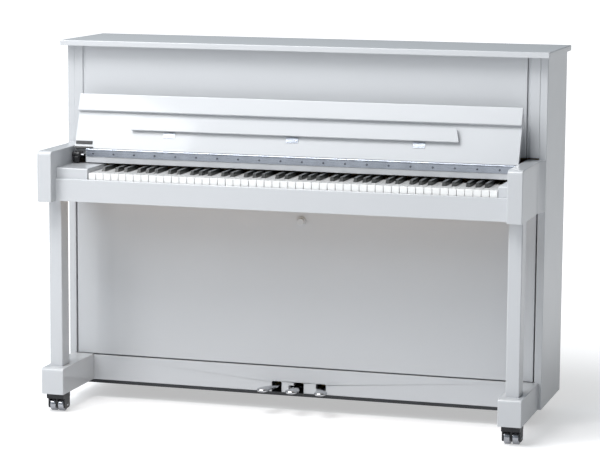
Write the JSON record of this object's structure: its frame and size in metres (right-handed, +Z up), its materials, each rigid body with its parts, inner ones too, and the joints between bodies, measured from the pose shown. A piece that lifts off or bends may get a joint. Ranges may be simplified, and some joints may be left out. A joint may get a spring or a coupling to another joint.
{
  "type": "upright piano",
  "caption": "White upright piano with an open folding fallboard, music shelf, front legs on toe blocks, double casters and pedals.",
  "frame": {"origin": "centre of the footprint on the floor, midway between the two sides and between the arms' front and the lid's back edge", "axes": "+Z up, +X along the keyboard to the player's right, +Y away from the player, who sits at -Y"},
  "size_m": [1.49, 0.59, 1.1],
  "materials": {
    "white_polyester": "white high-gloss polyester over board",
    "white_keytops": "polished white key covering on a wooden lever",
    "black_keytops": "satin black key covering on a wooden lever",
    "chrome_plate": "bright chrome plate",
    "steel_fittings": "satin nickel steel",
    "black_plastic": "matt black",
    "black_iron": "black painted casting",
    "wheel_metal": "bright turned metal",
    "black_board": "black painted board",
    "bare_wood": "planed beech and pine",
    "action_wood": "maple and beech",
    "felt_and_wood": "white felt on maple",
    "spruce": "varnished spruce",
    "bronzed_iron": "bronze paint",
    "string_steel": "polished wire"
  },
  "bodies": {
    "case": {"side_panel_left": "white_polyester", "side_panel_right": "white_polyester", "arm_left": "white_polyester", "arm_right": "white_polyester", "leg_left": "white_polyester", "leg_right": "white_polyester", "toe_block_left": "white_polyester", "toe_block_right": "white_polyester", "lid_hinges": "steel_fittings", "stiles": "white_polyester", "upper_panel": "white_polyester", "lower_panel": "white_polyester", "bottom_rail": "white_polyester", "bottom_board": "black_board", "keybed": "bare_wood", "key_slip": "white_polyester", "key_blocks": "white_polyester", "key_frame": "bare_wood", "nameboard_rail": "white_polyester", "fallboard_hinge": "steel_fittings", "soft_fall_damper": "black_plastic", "action_frame": "action_wood", "strings": "string_steel", "tuning_pins": "string_steel", "soundboard": "spruce", "iron_plate": "bronzed_iron", "back_frame": "bare_wood", "rear_casters": "black_iron"},
    "lid": {"lid": "white_polyester"},
    "fallboard": {"fallboard": "white_polyester", "music_shelf_hinges": "steel_fittings"},
    "fallboard_lip": {"fallboard_lip": "white_polyester"},
    "music_shelf": {"music_shelf": "white_polyester"},
    "panel_catch": {"panel_catch_knob": "white_polyester"},
    "hammers": {"hammers": "felt_and_wood"},
    "dampers": {"dampers": "felt_and_wood"},
    "hammer_rest_rail": {"hammer_rest_rail": "action_wood"},
    "muffler_rail": {"muffler_rail": "action_wood"},
    "soft_pedal": {"soft_pedal": "chrome_plate"},
    "muffler_pedal": {"muffler_pedal": "chrome_plate"},
    "sustain_pedal": {"sustain_pedal": "chrome_plate"},
    "soft_pedal_rod": {"soft_pedal_rod": "action_wood"},
    "sustain_pedal_rod": {"sustain_pedal_rod": "action_wood"},
    "front_caster_left": {"front_caster_left": "black_iron"},
    "front_caster_right": {"front_caster_right": "black_iron"},
    "front_wheels_left": {"front_wheels_left": "wheel_metal"},
    "front_wheels_right": {"front_wheels_right": "wheel_metal"},
    "rear_wheels": {"rear_wheels": "wheel_metal"},
    "keys_c": {"keys_c": "white_keytops"},
    "keys_c_sharp": {"keys_c_sharp": "black_keytops"},
    "keys_d": {"keys_d": "white_keytops"},
    "keys_d_sharp": {"keys_d_sharp": "black_keytops"},
    "keys_e": {"keys_e": "white_keytops"},
    "keys_f": {"keys_f": "white_keytops"},
    "keys_f_sharp": {"keys_f_sharp": "black_keytops"},
    "keys_g": {"keys_g": "white_keytops"},
    "keys_g_sharp": {"keys_g_sharp": "black_keytops"},
    "keys_a": {"keys_a": "white_keytops"},
    "keys_a_sharp": {"keys_a_sharp": "black_keytops"},
    "keys_b": {"keys_b": "white_keytops"}
  },
  "joints": [
    {"name": "lid_hinge", "type": "hinge", "parent": "case", "child": "lid", "pos_m": [0, 0.287, 1.08], "axis": [-1, 0, 0], "range_deg": [0, 100]},
    {"name": "fallboard_hinge", "type": "hinge", "parent": "case", "child": "fallboard", "pos_m": [0, -0.122, 0.78], "axis": [1, 0, 0], "range_deg": [0, 114]},
    {"name": "lip_fold", "type": "hinge", "parent": "fallboard", "child": "fallboard_lip", "pos_m": [0, -0.06179, 0.92608], "axis": [-1, 0, 0], "range_deg": [0, 90]},
    {"name": "shelf_fold", "type": "hinge", "parent": "fallboard", "child": "music_shelf", "pos_m": [0, -0.10193, 0.835], "axis": [1, 0, 0], "range_deg": [0, 90]},
    {"name": "catch_turn", "type": "hinge", "parent": "case", "child": "panel_catch", "pos_m": [0.004, -0.02, 0.578], "axis": [0, -1, 0], "range_deg": [0, 90]},
    {"name": "soft_pedal_press", "type": "hinge", "parent": "case", "child": "soft_pedal", "pos_m": [-0.069, 0.095, 0.078], "axis": [1, 0, 0], "range_deg": [0, 5.5], "stiffness_Nm_per_rad": 30, "springref_deg": -11.46},
    {"name": "muffler_pedal_press", "type": "hinge", "parent": "case", "child": "muffler_pedal", "pos_m": [0, 0.095, 0.078], "axis": [1, 0, 0], "range_deg": [0, 5.5], "stiffness_Nm_per_rad": 30, "springref_deg": -11.46},
    {"name": "sustain_pedal_press", "type": "hinge", "parent": "case", "child": "sustain_pedal", "pos_m": [0.069, 0.095, 0.078], "axis": [1, 0, 0], "range_deg": [0, 5.5], "stiffness_Nm_per_rad": 30, "springref_deg": -11.46},
    {"name": "soft_rod_lift", "type": "slide", "parent": "case", "child": "soft_pedal_rod", "axis": [0, 0, 1], "range_m": [0, 0.0046]},
    {"name": "sustain_rod_lift", "type": "slide", "parent": "case", "child": "sustain_pedal_rod", "axis": [0, 0, 1], "range_m": [0, 0.0046]},
    {"name": "hammers_advance", "type": "hinge", "parent": "case", "child": "hammers", "pos_m": [0.02, 0.1, 0.822], "axis": [-1, 0, 0], "range_deg": [0, 9]},
    {"name": "rest_rail_swing", "type": "hinge", "parent": "case", "child": "hammer_rest_rail", "pos_m": [0.02, 0.1, 0.822], "axis": [-1, 0, 0], "range_deg": [0, 9]},
    {"name": "dampers_lift", "type": "hinge", "parent": "case", "child": "dampers", "pos_m": [0.02, 0.126, 0.822], "axis": [1, 0, 0], "range_deg": [0, 5.2]},
    {"name": "muffler_drop", "type": "slide", "parent": "case", "child": "muffler_rail", "axis": [0, 0, -1], "range_m": [0, 0.031]},
    {"name": "rear_wheels_roll", "type": "hinge", "parent": "case", "child": "rear_wheels", "pos_m": [0, 0.215, 0.018], "axis": [1, 0, 0], "continuous": true},
    {"name": "keys_c_press", "type": "hinge", "parent": "case", "child": "keys_c", "pos_m": [0.032, -0.035, 0.703], "axis": [1, 0, 0], "range_deg": [0, 2.66], "stiffness_Nm_per_rad": 12, "springref_deg": -8.59},
    {"name": "keys_c_sharp_press", "type": "hinge", "parent": "case", "child": "keys_c_sharp", "pos_m": [0.032, -0.035, 0.703], "axis": [1, 0, 0], "range_deg": [0, 2.66], "stiffness_Nm_per_rad": 12, "springref_deg": -8.59},
    {"name": "keys_d_press", "type": "hinge", "parent": "case", "child": "keys_d", "pos_m": [0.032, -0.035, 0.703], "axis": [1, 0, 0], "range_deg": [0, 2.66], "stiffness_Nm_per_rad": 12, "springref_deg": -8.59},
    {"name": "keys_d_sharp_press", "type": "hinge", "parent": "case", "child": "keys_d_sharp", "pos_m": [0.032, -0.035, 0.703], "axis": [1, 0, 0], "range_deg": [0, 2.66], "stiffness_Nm_per_rad": 12, "springref_deg": -8.59},
    {"name": "keys_e_press", "type": "hinge", "parent": "case", "child": "keys_e", "pos_m": [0.032, -0.035, 0.703], "axis": [1, 0, 0], "range_deg": [0, 2.66], "stiffness_Nm_per_rad": 12, "springref_deg": -8.59},
    {"name": "keys_f_press", "type": "hinge", "parent": "case", "child": "keys_f", "pos_m": [0.032, -0.035, 0.703], "axis": [1, 0, 0], "range_deg": [0, 2.66], "stiffness_Nm_per_rad": 12, "springref_deg": -8.59},
    {"name": "keys_f_sharp_press", "type": "hinge", "parent": "case", "child": "keys_f_sharp", "pos_m": [0.032, -0.035, 0.703], "axis": [1, 0, 0], "range_deg": [0, 2.66], "stiffness_Nm_per_rad": 12, "springref_deg": -8.59},
    {"name": "keys_g_press", "type": "hinge", "parent": "case", "child": "keys_g", "pos_m": [0.032, -0.035, 0.703], "axis": [1, 0, 0], "range_deg": [0, 2.66], "stiffness_Nm_per_rad": 12, "springref_deg": -8.59},
    {"name": "keys_g_sharp_press", "type": "hinge", "parent": "case", "child": "keys_g_sharp", "pos_m": [0.032, -0.035, 0.703], "axis": [1, 0, 0], "range_deg": [0, 2.66], "stiffness_Nm_per_rad": 12, "springref_deg": -8.59},
    {"name": "keys_a_press", "type": "hinge", "parent": "case", "child": "keys_a", "pos_m": [0.032, -0.035, 0.703], "axis": [1, 0, 0], "range_deg": [0, 2.66], "stiffness_Nm_per_rad": 12, "springref_deg": -8.59},
    {"name": "keys_a_sharp_press", "type": "hinge", "parent": "case", "child": "keys_a_sharp", "pos_m": [0.032, -0.035, 0.703], "axis": [1, 0, 0], "range_deg": [0, 2.66], "stiffness_Nm_per_rad": 12, "springref_deg": -8.59},
    {"name": "keys_b_press", "type": "hinge", "parent": "case", "child": "keys_b", "pos_m": [0.032, -0.035, 0.703], "axis": [1, 0, 0], "range_deg": [0, 2.66], "stiffness_Nm_per_rad": 12, "springref_deg": -8.59},
    {"name": "caster_left_swivel", "type": "hinge", "parent": "case", "child": "front_caster_left", "pos_m": [-0.6915, -0.222, 0.059], "axis": [0, 0, 1], "continuous": true},
    {"name": "wheels_left_roll", "type": "hinge", "parent": "front_caster_left", "child": "front_wheels_left", "pos_m": [-0.6915, -0.216, 0.02], "axis": [1, 0, 0], "continuous": true},
    {"name": "caster_right_swivel", "type": "hinge", "parent": "case", "child": "front_caster_right", "pos_m": [0.6915, -0.222, 0.059], "axis": [0, 0, 1], "continuous": true},
    {"name": "wheels_right_roll", "type": "hinge", "parent": "front_caster_right", "child": "front_wheels_right", "pos_m": [0.6915, -0.216, 0.02], "axis": [1, 0, 0], "continuous": true}
  ],
  "couplings": [
    {"joint": "soft_rod_lift", "follows": "soft_pedal_press", "m_per_rad": 0.046},
    {"joint": "hammers_advance", "follows": "soft_pedal_press", "ratio": 1.6},
    {"joint": "rest_rail_swing", "follows": "soft_pedal_press", "ratio": 1.6},
    {"joint": "sustain_rod_lift", "follows": "sustain_pedal_press", "m_per_rad": 0.046},
    {"joint": "dampers_lift", "follows": "sustain_pedal_press", "ratio": 0.9},
    {"joint": "muffler_drop", "follows": "muffler_pedal_press", "m_per_rad": 0.31}
  ]
}
